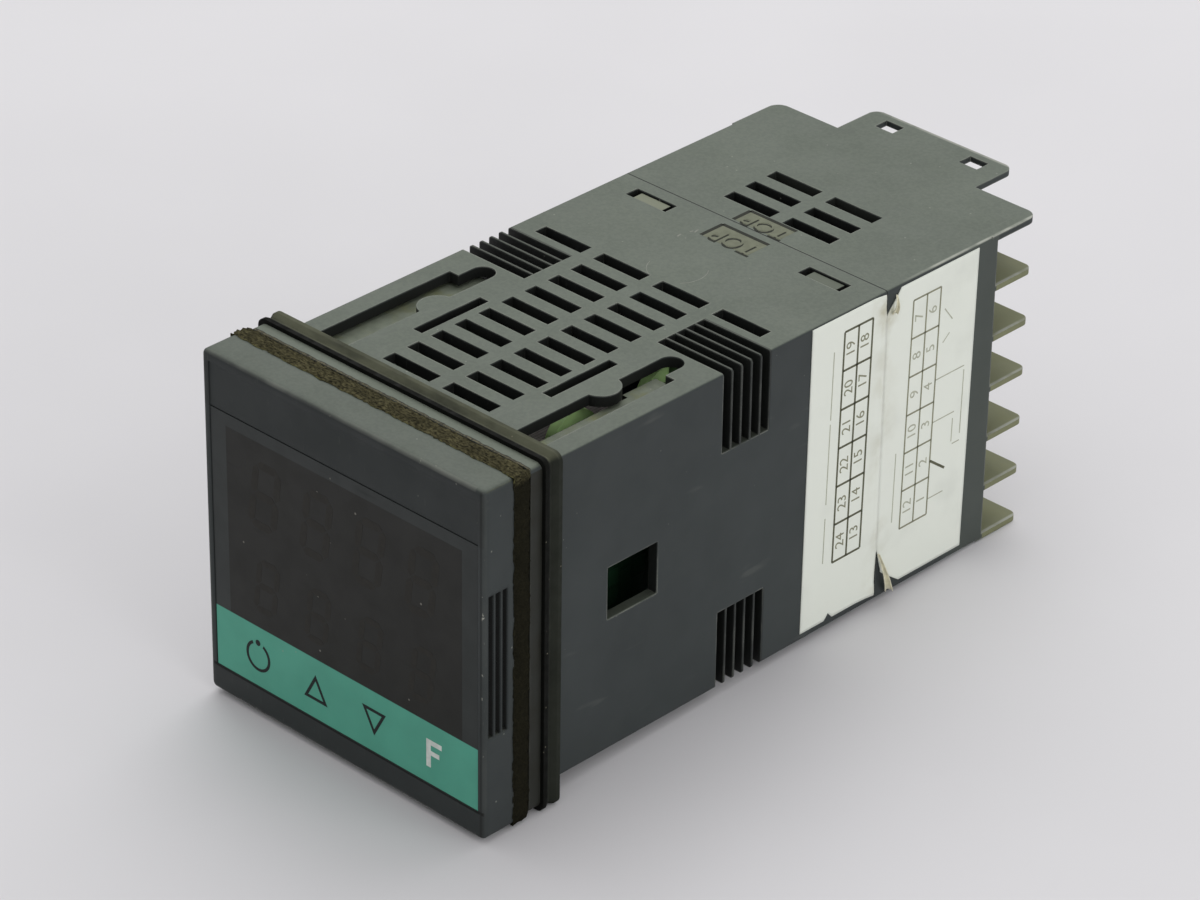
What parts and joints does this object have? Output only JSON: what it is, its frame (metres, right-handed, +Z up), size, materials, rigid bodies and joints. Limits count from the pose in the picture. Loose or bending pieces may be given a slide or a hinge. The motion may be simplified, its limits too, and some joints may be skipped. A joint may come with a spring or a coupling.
{
  "type": "temperature controller",
  "caption": "Square panel-mounted temperature controller: smoked display and keys on a plug-in module, vented sleeve with gasket, finned rear screw terminals.",
  "frame": {"origin": "centre of the panel opening, in the plane where the panel gasket meets the panel", "axes": "+X right as seen from the front, +Y from the front to the rear terminals, +Z up"},
  "size_m": [0.0488, 0.1078, 0.0488],
  "materials": {
    "case_plastic": "fine spark-eroded texture, dusty",
    "block_plastic": "fine spark-eroded texture, dusty",
    "gasket_rubber": "aged soft rubber",
    "foam": "old open-cell foam",
    "paper": "printed paper label, torn and stained",
    "bezel_plastic": "fine texture, scuffed edges",
    "film": "printed film with a smoked window and a teal strip",
    "screw_steel": "zinc plated",
    "brass": "stamped",
    "board": "solder resist",
    "display": "dark resin",
    "black_plastic": "moulded",
    "key_plastic": "moulded",
    "core_steel": "varnished laminations",
    "winding": "taped copper winding",
    "relay_plastic": "moulded",
    "can": "sleeved can",
    "disc_enamel": "dipped enamel"
  },
  "bodies": {
    "case": {"case_shell": "case_plastic", "panel_gasket": "gasket_rubber", "rear_block": "block_plastic", "terminal_posts": "brass", "clamp_washers": "screw_steel", "terminal_screws": "screw_steel", "wiring_label": "paper"},
    "module": {"front_bezel": "bezel_plastic", "foam_gasket": "foam", "front_film": "film", "switch_bodies": "black_plastic", "upper_display": "display", "lower_display": "display", "display_board": "board", "right_board": "board", "left_board": "board", "board_headers": "black_plastic", "rear_sockets": "black_plastic", "transformer_core": "core_steel", "transformer_winding": "winding", "output_relays": "relay_plastic", "filter_capacitors": "can", "disc_suppressors": "disc_enamel", "processor": "black_plastic", "board_brace": "black_plastic"},
    "cycle_key": {"key_cycle": "key_plastic", "stem_cycle": "key_plastic"},
    "up_key": {"key_up": "key_plastic", "stem_up": "key_plastic"},
    "down_key": {"key_down": "key_plastic", "stem_down": "key_plastic"},
    "function_key": {"key_function": "key_plastic", "stem_function": "key_plastic"}
  },
  "joints": [
    {"name": "module_slide", "type": "slide", "parent": "case", "child": "module", "axis": [0, -1, 0], "range_m": [0, 0.085]},
    {"name": "cycle_press", "type": "slide", "parent": "module", "child": "cycle_key", "axis": [0, 1, 0], "range_m": [0, 0.0003], "stiffness_N_per_m": 4000},
    {"name": "up_press", "type": "slide", "parent": "module", "child": "up_key", "axis": [0, 1, 0], "range_m": [0, 0.0003], "stiffness_N_per_m": 4000},
    {"name": "down_press", "type": "slide", "parent": "module", "child": "down_key", "axis": [0, 1, 0], "range_m": [0, 0.0003], "stiffness_N_per_m": 4000},
    {"name": "function_press", "type": "slide", "parent": "module", "child": "function_key", "axis": [0, 1, 0], "range_m": [0, 0.0003], "stiffness_N_per_m": 4000}
  ]
}
